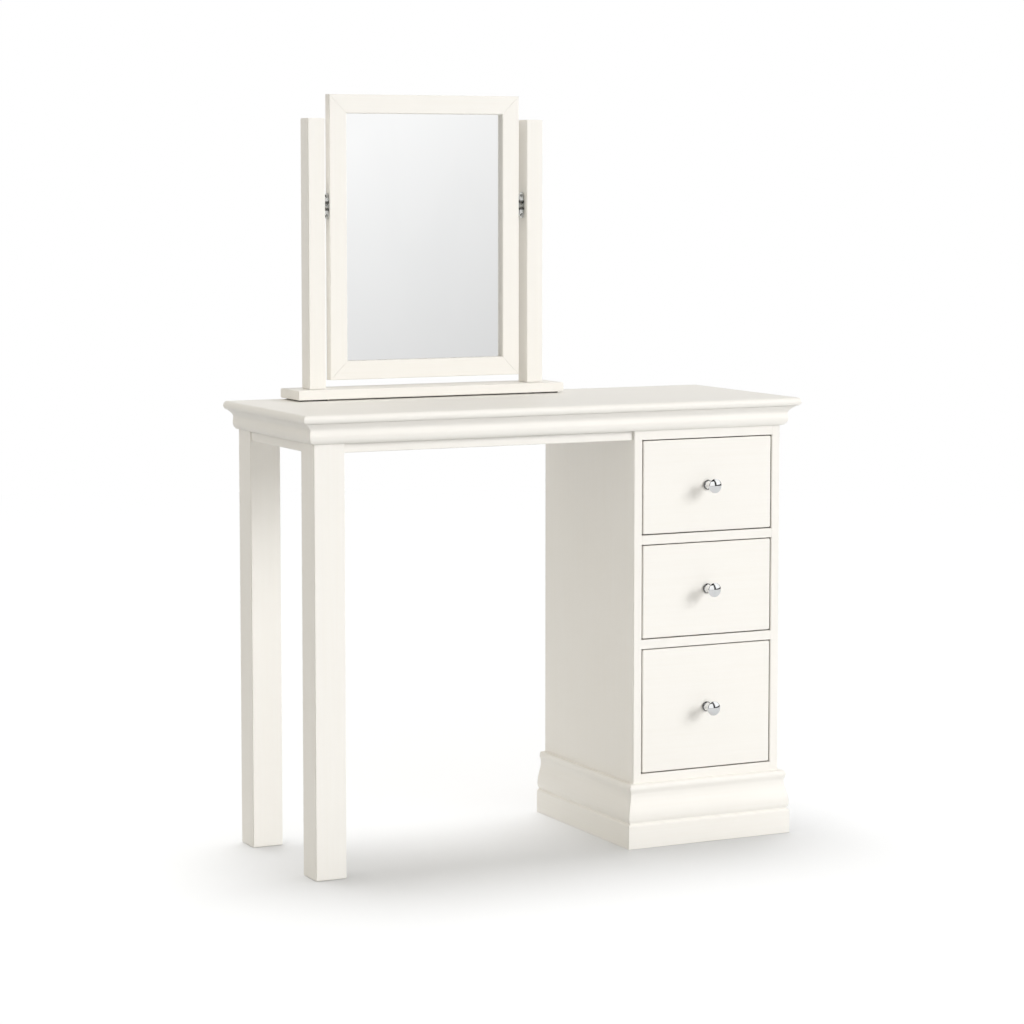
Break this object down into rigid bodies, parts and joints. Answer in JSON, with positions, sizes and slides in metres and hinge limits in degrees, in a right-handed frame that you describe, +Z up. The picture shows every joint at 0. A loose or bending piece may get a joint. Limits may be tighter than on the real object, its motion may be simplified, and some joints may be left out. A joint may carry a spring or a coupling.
{
  "type": "dressing table with mirror",
  "caption": "White painted dressing table with a moulded top and plinth, a pedestal of drawers beside a kneehole, and a framed mirror that tilts between posts on a stand.",
  "frame": {"origin": "on the floor under the middle of the bounding box", "axes": "+X to the right seen from the front, +Y to the back, +Z up"},
  "size_m": [0.95, 0.3764, 1.3153],
  "materials": {
    "white_paint": "satin off-white paint",
    "drawer_wood": "clear matt lacquer on pale timber",
    "fibreboard": "bare hardboard",
    "knob_chrome": "polished",
    "pivot_steel": "plated",
    "mirror_glass": "silvered glass",
    "pad_felt": "felt"
  },
  "bodies": {
    "table": {"table_top": "white_paint", "cornice_front": "white_paint", "cornice_left": "white_paint", "cornice_right": "white_paint", "plinth_front": "white_paint", "plinth_left": "white_paint", "plinth_right": "white_paint", "plinth_rear": "white_paint", "leg_front_left": "white_paint", "leg_rear_left": "white_paint", "apron_front": "white_paint", "apron_left": "white_paint", "apron_rear": "white_paint", "pedestal_side_left": "white_paint", "pedestal_side_right": "white_paint", "pedestal_bottom": "white_paint", "rail_top": "white_paint", "rail_upper": "white_paint", "rail_lower": "white_paint", "mirror_stand_base": "white_paint", "mirror_post_left": "white_paint", "mirror_post_right": "white_paint", "pedestal_back": "fibreboard", "stand_pad_left": "pad_felt", "stand_pad_right": "pad_felt", "pivot_plate_post_left": "pivot_steel", "pivot_plate_post_right": "pivot_steel", "runner_top_left": "drawer_wood", "runner_top_right": "drawer_wood", "runner_middle_left": "drawer_wood", "runner_middle_right": "drawer_wood", "runner_bottom_left": "drawer_wood", "runner_bottom_right": "drawer_wood"},
    "drawer_top": {"drawer_top_front": "white_paint", "drawer_top_knob": "knob_chrome", "drawer_top_side_left": "drawer_wood", "drawer_top_side_right": "drawer_wood", "drawer_top_back": "drawer_wood", "drawer_top_bottom": "drawer_wood"},
    "drawer_middle": {"drawer_middle_front": "white_paint", "drawer_middle_knob": "knob_chrome", "drawer_middle_side_left": "drawer_wood", "drawer_middle_side_right": "drawer_wood", "drawer_middle_back": "drawer_wood", "drawer_middle_bottom": "drawer_wood"},
    "drawer_bottom": {"drawer_bottom_front": "white_paint", "drawer_bottom_knob": "knob_chrome", "drawer_bottom_side_left": "drawer_wood", "drawer_bottom_side_right": "drawer_wood", "drawer_bottom_back": "drawer_wood", "drawer_bottom_bottom": "drawer_wood"},
    "mirror": {"mirror_frame_top": "white_paint", "mirror_frame_bottom": "white_paint", "mirror_frame_left": "white_paint", "mirror_frame_right": "white_paint", "mirror_glass": "mirror_glass", "mirror_backboard": "fibreboard", "pivot_plate_mirror_left": "pivot_steel", "pivot_plate_mirror_right": "pivot_steel"}
  },
  "joints": [
    {"name": "drawer_top_slide", "type": "slide", "parent": "table", "child": "drawer_top", "axis": [0, -1, 0], "range_m": [0, 0.24]},
    {"name": "drawer_middle_slide", "type": "slide", "parent": "table", "child": "drawer_middle", "axis": [0, -1, 0], "range_m": [0, 0.24]},
    {"name": "drawer_bottom_slide", "type": "slide", "parent": "table", "child": "drawer_bottom", "axis": [0, -1, 0], "range_m": [0, 0.24]},
    {"name": "mirror_tilt", "type": "hinge", "parent": "table", "child": "mirror", "pos_m": [-0.1105, 0.14415, 1.1211], "axis": [1, 0, 0], "range_deg": [-45, 45]}
  ]
}
